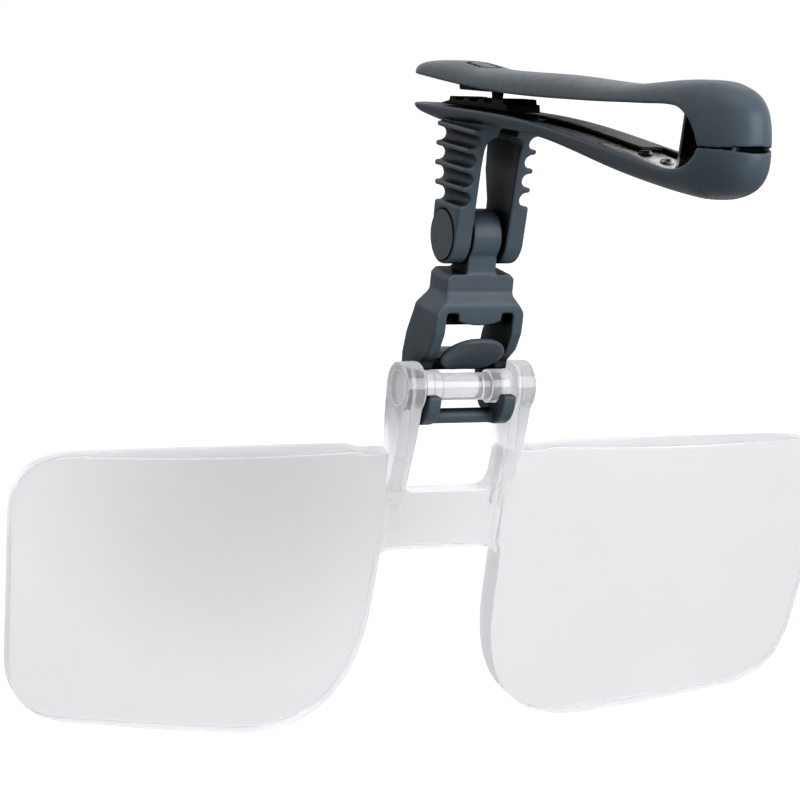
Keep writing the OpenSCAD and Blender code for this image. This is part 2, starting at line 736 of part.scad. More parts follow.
// Lens outline: straight edges with each corner a curve from edge to edge
function toward(a, b, d) = a + (b - a) / norm(b - a) * d;
function corner(a, b, c, d, e, n = 7) =
    let (p = toward(b, a, d), q = toward(b, c, e))
    [for (k = [0 : n]) let (t = k / n) pow(1 - t, 2) * p + 2 * t * (1 - t) * b + t * t * q];
lens_low = lens_top + lens_h;
web_x = 14.4;
web_drop = 0.5;
side_fall = 3;
bottom_rise = 3.4;
in_x = arm_out - 1;
p_top = [web_x, -lens_top];
p_out = [lens_reach, -lens_top - 0.4];
p_low = [lens_reach - side_fall, -lens_low + bottom_rise];
p_nose = [arm_out + 0.2, -lens_low - 1.2];
p_side = [arm_out - 0.5, -bridge_top - bridge_h];
module lens_outline() {
    polygon(concat(
        [[in_x, -lens_top - web_drop], [web_x - 2.4, -lens_top - web_drop], p_top],
        corner(p_top, p_out, p_low, top_corner, top_corner),
        corner(p_out, p_low, p_nose, low_corner, low_corner),
        corner(p_low, p_nose, p_side, nose_corner, nose_corner * 1.2, 12),
        [p_side, [in_x, -bridge_top - bridge_h + 1]]));
}

apex_x = 29;
module right_lens_solid() {
    intersection() {
        translate([arm_out, 0, 0]) rotate([0, 0, lens_wrap]) translate([-arm_out, 0, 0])
            intersection() {
                seen_from_front(lens_back_y - lens_t, lens_back_y) lens_outline();
                translate([apex_x, lens_back_y - lens_t + lens_curve_r, -lens_top - lens_h / 2])
                    sphere(r = lens_curve_r, $fn = 360);
            }
        translate([arm_out, -far, -2 * far]) cube([2 * far, 2 * far, 2 * far]);
    }
}

module right_lens() {
    color(clear) at_bar() right_lens_solid();
}

module left_lens() {
    color(clear) at_bar() mirror([1, 0, 0]) right_lens_solid();
}

lower_jaw();
upper_jaw();
jaw_hinge_pin();
clip_spring();
spring_retainer();
spring_rivets();
upper_grip_pad();
lower_grip_pad();
fork_hinge_pin();
hinge_pin_cap();
friction_washers();
swing_link();
lens_yoke();
left_lens();
right_lens();
tilt_bar();
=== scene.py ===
import json
import math

import bmesh
import bpy
from mathutils import Matrix, Vector


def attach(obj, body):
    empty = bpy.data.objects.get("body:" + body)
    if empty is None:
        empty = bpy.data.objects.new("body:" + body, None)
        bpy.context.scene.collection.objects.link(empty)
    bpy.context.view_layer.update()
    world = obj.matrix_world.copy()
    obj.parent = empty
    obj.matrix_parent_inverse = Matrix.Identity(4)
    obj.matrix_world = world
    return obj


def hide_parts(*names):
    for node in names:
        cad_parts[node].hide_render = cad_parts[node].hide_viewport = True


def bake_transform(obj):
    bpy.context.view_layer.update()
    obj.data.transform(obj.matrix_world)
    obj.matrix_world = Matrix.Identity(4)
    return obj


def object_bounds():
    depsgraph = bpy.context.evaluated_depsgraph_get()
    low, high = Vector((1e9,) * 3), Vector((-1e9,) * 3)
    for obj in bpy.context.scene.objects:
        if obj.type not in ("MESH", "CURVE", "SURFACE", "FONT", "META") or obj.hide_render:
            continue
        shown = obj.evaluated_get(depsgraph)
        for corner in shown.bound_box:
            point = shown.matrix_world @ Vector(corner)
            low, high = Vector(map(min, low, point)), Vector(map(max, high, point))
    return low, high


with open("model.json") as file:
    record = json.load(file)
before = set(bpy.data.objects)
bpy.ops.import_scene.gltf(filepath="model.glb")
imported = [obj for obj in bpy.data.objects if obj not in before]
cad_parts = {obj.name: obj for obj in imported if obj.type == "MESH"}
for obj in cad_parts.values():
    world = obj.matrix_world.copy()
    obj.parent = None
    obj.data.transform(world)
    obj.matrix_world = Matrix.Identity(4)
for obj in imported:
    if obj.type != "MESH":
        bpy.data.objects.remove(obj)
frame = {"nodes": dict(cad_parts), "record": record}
cad_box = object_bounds()
scene = bpy.context.scene

# Shapes are worked out in millimetres, and MM turns them into metres
MM = 0.001


# The camera, at the photograph's viewing angle
TARGET = Vector((-12.13, 0, -37.77)) * MM
DISTANCE = 0.43
AZIMUTH = math.radians(-25)
ELEVATION = math.radians(6.6)
ROLL = math.radians(2)
FOCAL_MM = 155.8
SENSOR_MM = 36
NEAREST = 0.01
FARTHEST = 10


def make_camera():
    back = Vector((math.sin(AZIMUTH) * math.cos(ELEVATION),
                   -math.cos(AZIMUTH) * math.cos(ELEVATION), math.sin(ELEVATION)))
    right = Vector((math.cos(AZIMUTH), math.sin(AZIMUTH), 0))
    up = back.cross(right)
    across = right * math.cos(ROLL) + up * math.sin(ROLL)
    upward = up * math.cos(ROLL) - right * math.sin(ROLL)
    place = Matrix((across, upward, back)).transposed().to_4x4()
    place.translation = TARGET + back * DISTANCE
    camera = add_object("camera", bpy.data.cameras.new("camera"))
    camera.data.lens = FOCAL_MM
    camera.data.sensor_width = SENSOR_MM
    camera.data.clip_start = NEAREST
    camera.data.clip_end = FARTHEST
    camera.matrix_world = place
    scene.camera = camera


# Mesh tools
MERGE = 1e-6
SMOOTH_SHARE = 0.5
ROUND_SIDES = 64
FINE_SIDES = 96


def add_object(name, data):
    obj = bpy.data.objects.new(name, data)
    scene.collection.objects.link(obj)
    return obj


def from_lists(name, points, faces):
    mesh = bpy.data.meshes.new(name)
    mesh.from_pydata([Vector(p) * MM for p in points], [], faces)
    mesh.update()
    return add_object(name, mesh)


def settle(obj):
    """Turn an object's modifiers into its mesh."""
    bpy.context.view_layer.update()
    graph = bpy.context.evaluated_depsgraph_get()
    mesh = bpy.data.meshes.new_from_object(obj.evaluated_get(graph))
    obj.modifiers.clear()
    obj.data = mesh
    return obj


def drop(*objects):
    for obj in objects:
        bpy.data.objects.remove(obj)


def copy_of(node, name):
    """A new object with a copy of a CAD node's mesh, its doubled points merged."""
    mesh = frame["nodes"][node].data.copy()
    mesh.materials.clear()
    work = bmesh.new()
    work.from_mesh(mesh)
    bmesh.ops.remove_doubles(work, verts=work.verts, dist=MERGE)
    work.to_mesh(mesh)
    work.free()
    return add_object(name, mesh)


def join(name, objects):
    work = bmesh.new()
    for obj in objects:
        work.from_mesh(obj.data)
    mesh = bpy.data.meshes.new(name)
    work.to_mesh(mesh)
    work.free()
    drop(*objects)
    return add_object(name, mesh)


def outward(obj):
    """Make all faces look outward."""
    work = bmesh.new()
    work.from_mesh(obj.data)
    bmesh.ops.recalc_face_normals(work, faces=work.faces)
    work.to_mesh(obj.data)
    work.free()
    return obj


def boolean(obj, other, operation):
    """Add, cut or intersect with another object, which is used up."""
    modifier = obj.modifiers.new("boolean", "BOOLEAN")
    modifier.operation = operation
    modifier.solver = "EXACT"
    modifier.object = other
    settle(obj)
    drop(other)
    return obj


def soften(obj, voxel, rounds, triangles=None):
    """Melt the solids of a piece together and round all its edges, as moulded plastic has them."""
    modifier = obj.modifiers.new("remesh", "REMESH")
    modifier.mode = "VOXEL"
    modifier.voxel_size = voxel * MM
    settle(obj)
    modifier = obj.modifiers.new("smooth", "SMOOTH")
    modifier.factor = SMOOTH_SHARE
    modifier.iterations = rounds
    count = len(obj.data.polygons) * 2
    if triangles and count > triangles:
        obj.modifiers.new("thin", "DECIMATE").ratio = triangles / count
    settle(obj)
    obj.data.shade_smooth()
    return obj


def bevel(obj, width, segments, angle):
    """A bevel on the edges that turn by more than an angle in degrees."""
    modifier = obj.modifiers.new("bevel", "BEVEL")
    modifier.width = width * MM
    modifier.segments = segments
    modifier.limit_method = "ANGLE"
    modifier.angle_limit = math.radians(angle)
    return modifier


def span(sign, near, far):
    """A stretch along X on one side of the middle, from its lower end to its higher one."""
    return sorted((sign * near, sign * far))


def tube(name, y, z, r, x0, x1, sides=ROUND_SIDES):
    """A closed round bar along X."""
    ring = [(y + r * math.cos(a), z + r * math.sin(a))
            for a in (2 * math.pi * k / sides for k in range(sides))]
    points = [(x0, *q) for q in ring] + [(x1, *q) for q in ring]
    faces = [(k, (k + 1) % sides, sides + (k + 1) % sides, sides + k) for k in range(sides)]
    ends = [tuple(range(sides))[::-1], tuple(range(sides, 2 * sides))]
    return from_lists(name, points, faces + ends)


def middle_of(row):
    return tuple(sum(q[k] for q in row) / len(row) for k in range(3))


def skin(name, rows, first, last):
    """A closed skin over rows of points, with a fan of triangles round a point at each end."""
    n = len(rows[0])
    end = (len(rows) - 1) * n
    points = [q for row in rows for q in row] + [first, last]
    faces = [(i + j, i + (j + 1) % n, i + n + (j + 1) % n, i + n + j)
             for i in range(0, end, n) for j in range(n)]
    faces += [((j + 1) % n, j, end + n) for j in range(n)]
    faces += [(end + j, end + (j + 1) % n, end + n + 1) for j in range(n)]
    return outward(from_lists(name, points, faces))


def block(name, low, high):
    """A box from its lowest to its highest corner."""
    points = [(x, y, z) for x in (low[0], high[0]) for y in (low[1], high[1])
              for z in (low[2], high[2])]
    return from_lists(name, points, [(0, 1, 3, 2), (4, 6, 7, 5), (0, 4, 5, 1),
                                     (2, 3, 7, 6), (0, 2, 6, 4), (1, 5, 7, 3)])


# The jaws: the CAD's sizes, tables and sections, drawn with many more rows
UPPER = 1
LOWER = -1
TIP_REACH = 18.2
REAR_REACH = 63.4
HALF_W = 4.5
BULB_LEN = 10
TIP_ROUND = 4.5
JAW_WALL = 0.9
EDGE_WALL = 0.9
INNER_SHARE = 0.6
CROWN_Z = 3.8
BULB_TOP = 4.1
BULB_LOW = 9.1
SEAM_Z = -3.2
SEAM_GAP = 0.08
SEAM_RELIEF = math.radians(5.6)
MOUTH_Y = 6.3 - REAR_REACH
BULB_Y = BULB_LEN - REAR_REACH
UPRIGHT_Y = 12 - REAR_REACH
LOWER_LEAF = 20
STEP_Y = UPRIGHT_Y + LOWER_LEAF + 0.2
FLOOR_RISE = 0.4
LOWER_CHANNEL = 0.9
UPPER_CHANNEL = 1.0
MIN_CHANNEL = 0.03
MAX_CHANNEL = 1.4
TIP_POWER = 2.4
PLAN_POWER = 2.1
UPPER_REAR_POWER = 3.6
LOWER_REAR_POWER = 2.9
UPPER_TIP_DROP = 0.8
LOWER_TIP_RISE = 0.4
ARCH_SHAPE = 2.7
ARCH_STEPS = 48

# Rows along a jaw: the angles that its round ends start and stop at, and the counts
TIP_ANGLES = (86, 0)
REAR_ANGLES = (2, 87)
TIP_ROWS = 24
BAR_ROWS = 110
MOUTH_ROWS = 60
REAR_ROWS = 36
MOUTH_LEN = 10
MOUTH_CROWDING = 1.4

# The jaw pin and the lugs round it
PIN_Y = 2.8 - REAR_REACH
PIN_R = 0.6
LUG_R = 1.4
LUG_GAP = 0.12
MID_LUG = 1.1
SIDE_LUG = 2.2
SEAM_JOIN = 0.1
PLUG_NEAR = 2.4
PLUG_FAR = 2.95
PLUG_LEN = 2.4
PLUG_DEEP = 1.5

# The bare oval recess on the upper jaw's tip
OVAL_Y = 4.6
OVAL_HALF_LEN = 1.5
OVAL_OUTER_R = 1.65
OVAL_INNER_R = 1.05
OVAL_DEEP = 0.42
OVAL_ABOVE = 2
OVAL_STEPS = 24

# Room round the fork that is taken from the CAD's lower jaw
FORK_LOW = (-7, -7, -30)
FORK_HIGH = (7, 15, -2.7)

# How much the plastic pieces are softened
MOULD_VOXEL = 0.13
JAW_ROUNDS = 5
FORK_ROUNDS = 10
UPPER_JAW_TRIANGLES = 60000
LOWER_JAW_TRIANGLES = 90000

# Tables of a height or a depth at places along Y
CROWN = [(-REAR_REACH, BULB_TOP - 0.9), (-REAR_REACH * 0.93, BULB_TOP - 0.45),
         (-REAR_REACH * 0.86, BULB_TOP - 0.1), (-REAR_REACH * 0.78, BULB_TOP - 0.2),
         (-REAR_REACH * 0.58, CROWN_Z - 0.8), (-REAR_REACH * 0.3, CROWN_Z - 0.4),
         (0, CROWN_Z - 0.3), (TIP_REACH * 0.46, CROWN_Z + 0.4), (TIP_REACH, CROWN_Z + 0.2)]
UPPER_EDGE = [(-REAR_REACH, SEAM_Z), (MOUTH_Y, SEAM_Z + 0.3), (MOUTH_Y + 0.6, SEAM_Z + 1.6),
              (MOUTH_Y + 2.3, SEAM_Z + 3.3), (MOUTH_Y + 4.9, 1.05), (-REAR_REACH * 0.7, 1),
              (-REAR_REACH * 0.5, 0.75), (-REAR_REACH * 0.2, 0.7), (0, 1.2), (TIP_REACH, 2.5)]
LOWER_EDGE = [(-REAR_REACH, SEAM_Z), (MOUTH_Y, SEAM_Z - 0.3), (MOUTH_Y + 0.6, SEAM_Z - 1.1),
              (MOUTH_Y + 2.3, SEAM_Z - 2.2), (MOUTH_Y + 4.9, -5.9), (MOUTH_Y + 8, -5.9),
              (-REAR_REACH * 0.56, -4.3), (-REAR_REACH * 0.3, -2.5),
              (-REAR_REACH * 0.1, -1.75), (TIP_REACH, -1.3)]
LOWER_SIDE = [(-REAR_REACH, 0.6 - BULB_LOW), (-REAR_REACH * 0.93, 0.15 - BULB_LOW),
              (-REAR_REACH * 0.86, -BULB_LOW), (-REAR_REACH * 0.6, 1.6 - BULB_LOW),
              (-REAR_REACH * 0.28, -4.5), (-2, -3.7), (6, -4.1), (12, -3.4), (TIP_REACH, -2.2)]
UPPER_DEPTH = [(-REAR_REACH, 0), (MOUTH_Y, 0), (MOUTH_Y + 3, 0), (MOUTH_Y + 7, UPPER_CHANNEL),
               (-14, UPPER_CHANNEL), (-9, 0), (TIP_REACH, 0)]
LOWER_DEPTH = [(-REAR_REACH, 0), (MOUTH_Y, 0), (MOUTH_Y + 3, 0), (MOUTH_Y + 7, LOWER_CHANNEL),
               (STEP_Y + 0.1, LOWER_CHANNEL), (STEP_Y + 0.6, FLOOR_RISE), (-10, FLOOR_RISE),
               (-8, 0), (TIP_REACH, 0)]


def smooth_at(place, table):
    """The value at a place on a smooth curve through the points of a table."""
    i = 0
    while i < len(table) - 2 and place > table[i + 1][0]:
        i += 1

    def slope(k):
        a = max(k - 1, 0)
        b = min(k + 1, len(table) - 1)
        return (table[b][1] - table[a][1]) / (table[b][0] - table[a][0])

    h = table[i + 1][0] - table[i][0]
    s = min(max((place - table[i][0]) / h, 0), 1)
    return (table[i][1] * (1 + 2 * s) * (1 - s) ** 2 + slope(i) * h * s * (1 - s) ** 2
            + table[i + 1][1] * s * s * (3 - 2 * s) + slope(i + 1) * h * s * s * (s - 1))


def end_round(s, power):
    """The share of the full size left at a rounded end, where s runs from 0 to 1 at the end."""
    return max(1 - max(s, 0) ** power, 0) ** (1 / power)


def tip_s(y):
    return (y - (TIP_REACH - TIP_ROUND)) / TIP_ROUND


def rear_s(y):
    return (BULB_Y - y) / BULB_LEN


def edge_at(y, table, side):
    """The height of a jaw's edge: the seam behind the mouth, and the table in front of it."""
    if y < MOUTH_Y:
        return SEAM_Z + side * (SEAM_GAP + max(PIN_Y - y, 0) * math.tan(SEAM_RELIEF))
    return smooth_at(y, table)


def rear_round(y, table, power):
    return SEAM_Z + (smooth_at(y, table) - SEAM_Z) * end_round(rear_s(y), power)


def section(y, side):
    """A squarish arch from edge to edge, then the channel between the jaw's walls."""
    half_w = HALF_W * end_round(tip_s(y), TIP_POWER) * end_round(rear_s(y), PLAN_POWER)
    inner = max(half_w - JAW_WALL, half_w * INNER_SHARE)
    tip = 1 - end_round(tip_s(y), TIP_POWER)
    if side == UPPER:
        edge = edge_at(y, UPPER_EDGE, side)
        crown = rear_round(y, CROWN, UPPER_REAR_POWER)
        outer = max(crown, edge + EDGE_WALL) - UPPER_TIP_DROP * tip
        depth = smooth_at(y, UPPER_DEPTH)
    else:
        edge = edge_at(y, LOWER_EDGE, side)
        underside = rear_round(y, LOWER_SIDE, LOWER_REAR_POWER)
        outer = min(underside, edge - EDGE_WALL) + LOWER_TIP_RISE * tip
        depth = smooth_at(y, LOWER_DEPTH)
    floor = edge + side * max(min(depth, MAX_CHANNEL), MIN_CHANNEL)
    power = 2 / ARCH_SHAPE
    row = []
    for k in range(ARCH_STEPS + 1):
        a = math.pi * k / ARCH_STEPS
        across = math.copysign(abs(math.cos(a)) ** power, math.cos(a))
        row.append((half_w * across, y, edge + (outer - edge) * abs(math.sin(a)) ** power))
    return row + [(-inner, y, edge), (-inner, y, floor), (inner, y, floor), (inner, y, edge)]


def stations():
    """Places along the clip where a jaw's section is drawn, from its tip to its rear."""
    def sines(first, last, steps):
        return [math.sin(math.radians(first + (last - first) * k / steps)) for k in range(steps + 1)]

    tip = [TIP_REACH - TIP_ROUND * (1 - s) for s in sines(*TIP_ANGLES, TIP_ROWS)]
    bar_len = MOUTH_Y + MOUTH_LEN - tip[-1]
    bar = [tip[-1] + bar_len * k / BAR_ROWS for k in range(1, BAR_ROWS + 1)]
    mouth = [MOUTH_Y + MOUTH_LEN * (1 - k / MOUTH_ROWS) ** MOUTH_CROWDING
             for k in range(1, MOUTH_ROWS + 1)]
    rear = [MOUTH_Y - (REAR_REACH + MOUTH_Y) * s for s in sines(*REAR_ANGLES, REAR_ROWS)]
    return tip + bar + mouth + rear


def shell(name, side):
    rows = [section(y, side) for y in stations()]
    return skin(name, rows, middle_of(rows[0]), middle_of(rows[-1]))


def stadium(r, half_len, y):
    ring = [(r * math.cos(a), y + half_len + r * math.sin(a))
            for a in (math.pi * k / OVAL_STEPS for k in range(OVAL_STEPS + 1))]
    return ring + [(-x, 2 * y - v) for x, v in ring]


def oval_cutter():
    """A ring that cuts the oval recess as deep all the way round, along the jaw's crown."""
    outlines = [stadium(r, OVAL_HALF_LEN, OVAL_Y) for r in (OVAL_OUTER_R, OVAL_INNER_R)]
    n = len(outlines[0])
    points = [(*q, smooth_at(q[1], CROWN) + rise) for rise in (-OVAL_DEEP, OVAL_ABOVE)
              for outline in outlines for q in outline]
    faces = []
    for j in range(n):
        k = (j + 1) % n
        faces += [(j, k, n + k, n + j), (2 * n + j, 3 * n + j, 3 * n + k, 2 * n + k),
                  (j, 2 * n + j, 2 * n + k, k), (n + j, n + k, 3 * n + k, 3 * n + j)]
    return outward(from_lists("oval_cutter", points, faces))


def at_jaw_pin(name, r, x0, x1):
    return tube(name, PIN_Y, SEAM_Z, r, x0, x1)


def make_upper_jaw():
    """The upper jaw's lug stands in the middle, with room for the lower jaw's beside it."""
    jaw = shell("upper_jaw_moulding", UPPER)
    lug_half = MID_LUG + LUG_GAP * 2 - SEAM_JOIN
    for sign in (-1, 1):
        ends = span(sign, MID_LUG + LUG_GAP, SIDE_LUG + LUG_GAP)
        boolean(jaw, at_jaw_pin("lug_room", LUG_R + LUG_GAP, *ends), "DIFFERENCE")
    boolean(jaw, at_jaw_pin("lug", LUG_R, -lug_half, lug_half), "UNION")
    boolean(jaw, at_jaw_pin("bore", PIN_R, -SIDE_LUG, SIDE_LUG), "DIFFERENCE")
    boolean(jaw, oval_cutter(), "DIFFERENCE")
    return soften(jaw, MOULD_VOXEL, JAW_ROUNDS, UPPER_JAW_TRIANGLES)


def make_lower_jaw():
    """The lower jaw has two lugs, the fork, and plugs that keep daylight out of the seam."""
    jaw = shell("lower_jaw_moulding", LOWER)
    room_half = MID_LUG + LUG_GAP
    boolean(jaw, at_jaw_pin("lug_room", LUG_R + LUG_GAP, -room_half, room_half), "DIFFERENCE")
    for sign in (-1, 1):
        ends = span(sign, MID_LUG + LUG_GAP, SIDE_LUG + LUG_GAP)
        boolean(jaw, at_jaw_pin("lug", LUG_R, *ends), "UNION")
        near, far = span(sign, PLUG_NEAR, PLUG_FAR)
        low = (near, PIN_Y + SEAM_JOIN, SEAM_Z - PLUG_DEEP)
        high = (far, PIN_Y + PLUG_LEN, SEAM_Z + SEAM_JOIN)
        boolean(jaw, block("seam_plug", low, high), "UNION")
    fork = copy_of("lower_jaw", "fork")
    boolean(fork, block("fork_room", FORK_LOW, FORK_HIGH), "INTERSECT")
    soften(fork, MOULD_VOXEL, FORK_ROUNDS)
    jaw = join("lower_jaw_moulding", [jaw, fork])
    return soften(jaw, MOULD_VOXEL, JAW_ROUNDS, LOWER_JAW_TRIANGLES)


# The clear lens frame: the CAD's sizes, in the frame that hangs from the tilt bar
PIVOT_Y = 4.8
PIVOT_DROP = 17.5
LINK_LEN = 19.8
LINK_LEAN = math.radians(8)
LENS_LEAN = math.radians(15)
BAR_PLACE = Vector((0, PIVOT_Y + LINK_LEN * math.sin(LINK_LEAN),
                    -PIVOT_DROP - LINK_LEN * math.cos(LINK_LEAN))) * MM
AT_BAR = Matrix.Translation(BAR_PLACE) @ Matrix.Rotation(LENS_LEAN, 4, "X")
ARM_OUT = 9.1
BRIDGE_LOW = 22.5
BAR_R = 2.15
BAR_HALF_WAIST = 3.5
WAIST_R = 1.75
WAIST_HALF = 3.6
COLLAR_R = 2.28
COLLAR_NEAR = 6.28
COLLAR_FAR = 6.5
YOKE_VOXEL = 0.16
YOKE_ROUNDS = 5
YOKE_TRIANGLES = 30000
CLEAR_SHARP = math.radians(32)

# The lens: its outline's corners, its two faces and its rim
LENS_TOP = 8.3
LENS_H = 39.2
LENS_REACH = 58.8
LENS_T = 5.3
LENS_BACK = 2.2
LENS_WRAP = math.radians(1)
CURVE_R = 150
APEX_X = 29
LENS_MIDDLE = Vector((32, -29))
WEB_X = 14.4
WEB_START = 12
WEB_DROP = 0.5
WEB_STEPS = 8
TOP_FALL = 0.4
SIDE_FALL = 3
BOTTOM_RISE = 3.4
NOSE_FALL = 1.2
NOSE_OUT = 0.2
SIDE_IN = 0.5
ROOT_IN = 1
TOP_CORNER = 8.5
LOW_CORNER = 8
NOSE_CORNER = 16
NOSE_LENGTHEN = 1.2
CORNER_STEPS = 40
OUTLINE_STEP = 0.5
RIM_R = 0.25
RIM_ROUND = 0.13
FRONT_RINGS = (0.12, 0.3, 0.5, 0.68, 0.82, 0.92, 0.975)
BACK_RINGS = (0.9, 0.6, 0.3)


def corner(a, b, c, before, after):
    """A curve round corner b that leaves the edge from a and meets the edge to c."""
    p = b + (a - b).normalized() * before
    q = b + (c - b).normalized() * after
    steps = [k / CORNER_STEPS for k in range(CORNER_STEPS + 1)]
    return [p * (1 - t) ** 2 + b * 2 * t * (1 - t) + q * t * t for t in steps]


def lens_outline():
    """The lens seen from the front, as in the CAD, with points at even steps."""
    top = Vector((WEB_X, -LENS_TOP))
    out = Vector((LENS_REACH, -LENS_TOP - TOP_FALL))
    low = Vector((LENS_REACH - SIDE_FALL, -LENS_TOP - LENS_H + BOTTOM_RISE))
    nose = Vector((ARM_OUT + NOSE_OUT, -LENS_TOP - LENS_H - NOSE_FALL))
    side = Vector((ARM_OUT - SIDE_IN, -BRIDGE_LOW))
    ring = [Vector((x, -LENS_TOP - WEB_DROP)) for x in (ARM_OUT - ROOT_IN, WEB_START)]
    for t in (k / WEB_STEPS for k in range(1, WEB_STEPS + 1)):
        ring.append(Vector((WEB_START + (WEB_X - WEB_START) * t,
                            -LENS_TOP - WEB_DROP + WEB_DROP * (3 - 2 * t) * t ** 2)))
    ring += corner(top, out, low, TOP_CORNER, TOP_CORNER)
    ring += corner(out, low, nose, LOW_CORNER, LOW_CORNER)
    ring += corner(low, nose, side, NOSE_CORNER, NOSE_CORNER * NOSE_LENGTHEN)
    ring += [side, Vector((ARM_OUT - ROOT_IN, -BRIDGE_LOW + 1))]
    even = []
    for a, b in zip(ring, ring[1:] + ring[:1]):
        n = max(1, round((b - a).length / OUTLINE_STEP))
        even += [a.lerp(b, k / n) for k in range(n)]
    return even


def inset(ring, depth):
    """The outline drawn a little smaller."""
    out = []
    for i, p in enumerate(ring):
        along = (ring[(i + 1) % len(ring)] - ring[i - 1]).normalized()
        out.append(p + Vector((along.y, -along.x)) * depth)
    return out


def lens_front(p):
    """Where the round front face lies at a point of the outline's plane."""
    middle = -LENS_TOP - LENS_H / 2
    return (LENS_BACK - LENS_T + CURVE_R
            - math.sqrt(CURVE_R ** 2 - (p.x - APEX_X) ** 2 - (p.y - middle) ** 2))


def lens_rings():
    """Rings of points from the front's middle over the rounded rim to the flat back."""
    ring = lens_outline()
    inner = inset(ring, RIM_R)
    middle = LENS_MIDDLE
    rings = [[(middle.lerp(q, s), lens_front(middle.lerp(p, s))) for p, q in zip(ring, inner)]
             for s in FRONT_RINGS]
    rim = [(RIM_R, 0), (RIM_R * 0.5, RIM_ROUND * RIM_R), (RIM_ROUND * RIM_R, RIM_R * 0.5), (0, RIM_R)]
    rings += [[(q, lens_front(p) + rise) for p, q in zip(ring, inset(ring, depth))]
              for depth, rise in rim]
    rings += [[(q, LENS_BACK - rise) for q in inset(ring, depth)] for depth, rise in reversed(rim)]
    rings += [[(middle.lerp(q, s), LENS_BACK) for q in inner] for s in BACK_RINGS]
    return rings


def make_lens(name, mirrored):
    x, z = LENS_MIDDLE
    rows = [[(q.x, y, q.y) for q, y in ring] for ring in lens_rings()]
    lens = skin(name, rows, (x, lens_front(LENS_MIDDLE), z), (x, LENS_BACK, z))
    hub = Vector((ARM_OUT, 0, 0)) * MM
    wrap = (Matrix.Translation(hub) @ Matrix.Rotation(LENS_WRAP, 4, "Z")
            @ Matrix.Translation(-hub))
    flip = Matrix.Scale(-1, 4, (1, 0, 0)) if mirrored else Matrix()
    lens.data.transform(AT_BAR @ flip @ wrap)
    return outward(lens)


def bar_piece(name, r, x0, x1):
    rod = tube(name, 0, 0, r, x0, x1, FINE_SIDES)
    rod.data.transform(AT_BAR)
    return rod


def make_clear_frame():
    whole = soften(copy_of("lens_yoke", "clear_lens_frame"), YOKE_VOXEL, YOKE_ROUNDS, YOKE_TRIANGLES)
    for sign in (-1, 1):
        boolean(whole, bar_piece("journal", BAR_R, *span(sign, BAR_HALF_WAIST, ARM_OUT)), "UNION")
        boolean(whole, bar_piece("collar", COLLAR_R, *span(sign, COLLAR_NEAR, COLLAR_FAR)), "UNION")
    boolean(whole, bar_piece("waist", WAIST_R, -WAIST_HALF, WAIST_HALF), "UNION")
    boolean(whole, make_lens("right", False), "UNION")
    boolean(whole, make_lens("left", True), "UNION")
    whole.data.shade_smooth()
    whole.data.set_sharp_from_angle(angle=CLEAR_SHARP)
    return whole


# The steel strip
STRIP_MERGE = math.radians(1)
STRIP_CUTS = range(-6, 3)
STRIP_BEVEL = 0.08
STRIP_SHARP = math.radians(35)
EDGE_ANGLE = 40


def make_spring():
    """The strip, with rows of points where it stands up and bends as the jaws open."""
    strip = copy_of("clip_spring", "spring_strip")
    work = bmesh.new()
    work.from_mesh(strip.data)
    bmesh.ops.dissolve_limit(work, angle_limit=STRIP_MERGE, verts=work.verts, edges=work.edges)
    for z in STRIP_CUTS:
        bmesh.ops.bisect_plane(work, geom=work.verts[:] + work.edges[:] + work.faces[:],
                               plane_co=(0, 0, z * MM), plane_no=(0, 0, 1))
    work.to_mesh(strip.data)
    work.free()
    bevel(strip, STRIP_BEVEL, segments=2, angle=EDGE_ANGLE)
    settle(strip)
    strip.data.shade_smooth()
    strip.data.set_sharp_from_angle(angle=STRIP_SHARP)
    return strip


def chamfer(name, width, segments):
    """Soft edges on a CAD node that keeps its own mesh."""
    bevel(frame["nodes"][name], width, segments, EDGE_ANGLE).harden_normals = True


# Tools for material nodes. A socket takes a link, a plain number or a colour
COLOUR_A = 6
COLOUR_B = 7
COLOUR_OUT = 2


def feed(tree, socket, value):
    if isinstance(value, bpy.types.NodeSocket):
        tree.links.new(value, socket)
    else:
        socket.default_value = value


def rgba(value):
    """A grey level or a colour, with full opacity."""
    return (*value, 1) if isinstance(value, tuple) else (value, value, value, 1)


def new_material(name):
    material = bpy.data.materials.new(name)
    material.use_nodes = True
    tree = material.node_tree
    return material, tree, tree.nodes["Principled BSDF"].inputs


def maths(tree, operation, first, second=None, clamp=False):
    n = tree.nodes.new("ShaderNodeMath")
    n.operation = operation
    n.use_clamp = clamp
    feed(tree, n.inputs[0], first)
    if second is not None:
        feed(tree, n.inputs[1], second)
    return n.outputs[0]


def ranged(tree, value, from_min=0.0, from_max=1.0, to_min=0.0, to_max=1.0):
    """A value carried over from one range to another, and held inside it."""
    n = tree.nodes.new("ShaderNodeMapRange")
    for name, setting in (("Value", value), ("From Min", from_min), ("From Max", from_max),
                          ("To Min", to_min), ("To Max", to_max)):
        feed(tree, n.inputs[name], setting)
    return n.outputs["Result"]


def mixed(tree, factor, first, second, blend="MIX"):
    n = tree.nodes.new("ShaderNodeMix")
    n.data_type = "RGBA"
    n.blend_type = blend
    feed(tree, n.inputs["Factor"], factor)
    feed(tree, n.inputs[COLOUR_A], first)
    feed(tree, n.inputs[COLOUR_B], second)
    return n.outputs[COLOUR_OUT]


def ramp(tree, value, start, end):
    """A colour that goes from one stop, a place and a colour, to another."""
    n = tree.nodes.new("ShaderNodeValToRGB")
    for element, (place, colour) in zip(n.color_ramp.elements, (start, end)):
        element.position = place
        element.color = rgba(colour)
    feed(tree, n.inputs["Fac"], value)
    return n.outputs["Color"]


def coordinate(tree, output="Object"):
    return tree.nodes.new("ShaderNodeTexCoord").outputs[output]


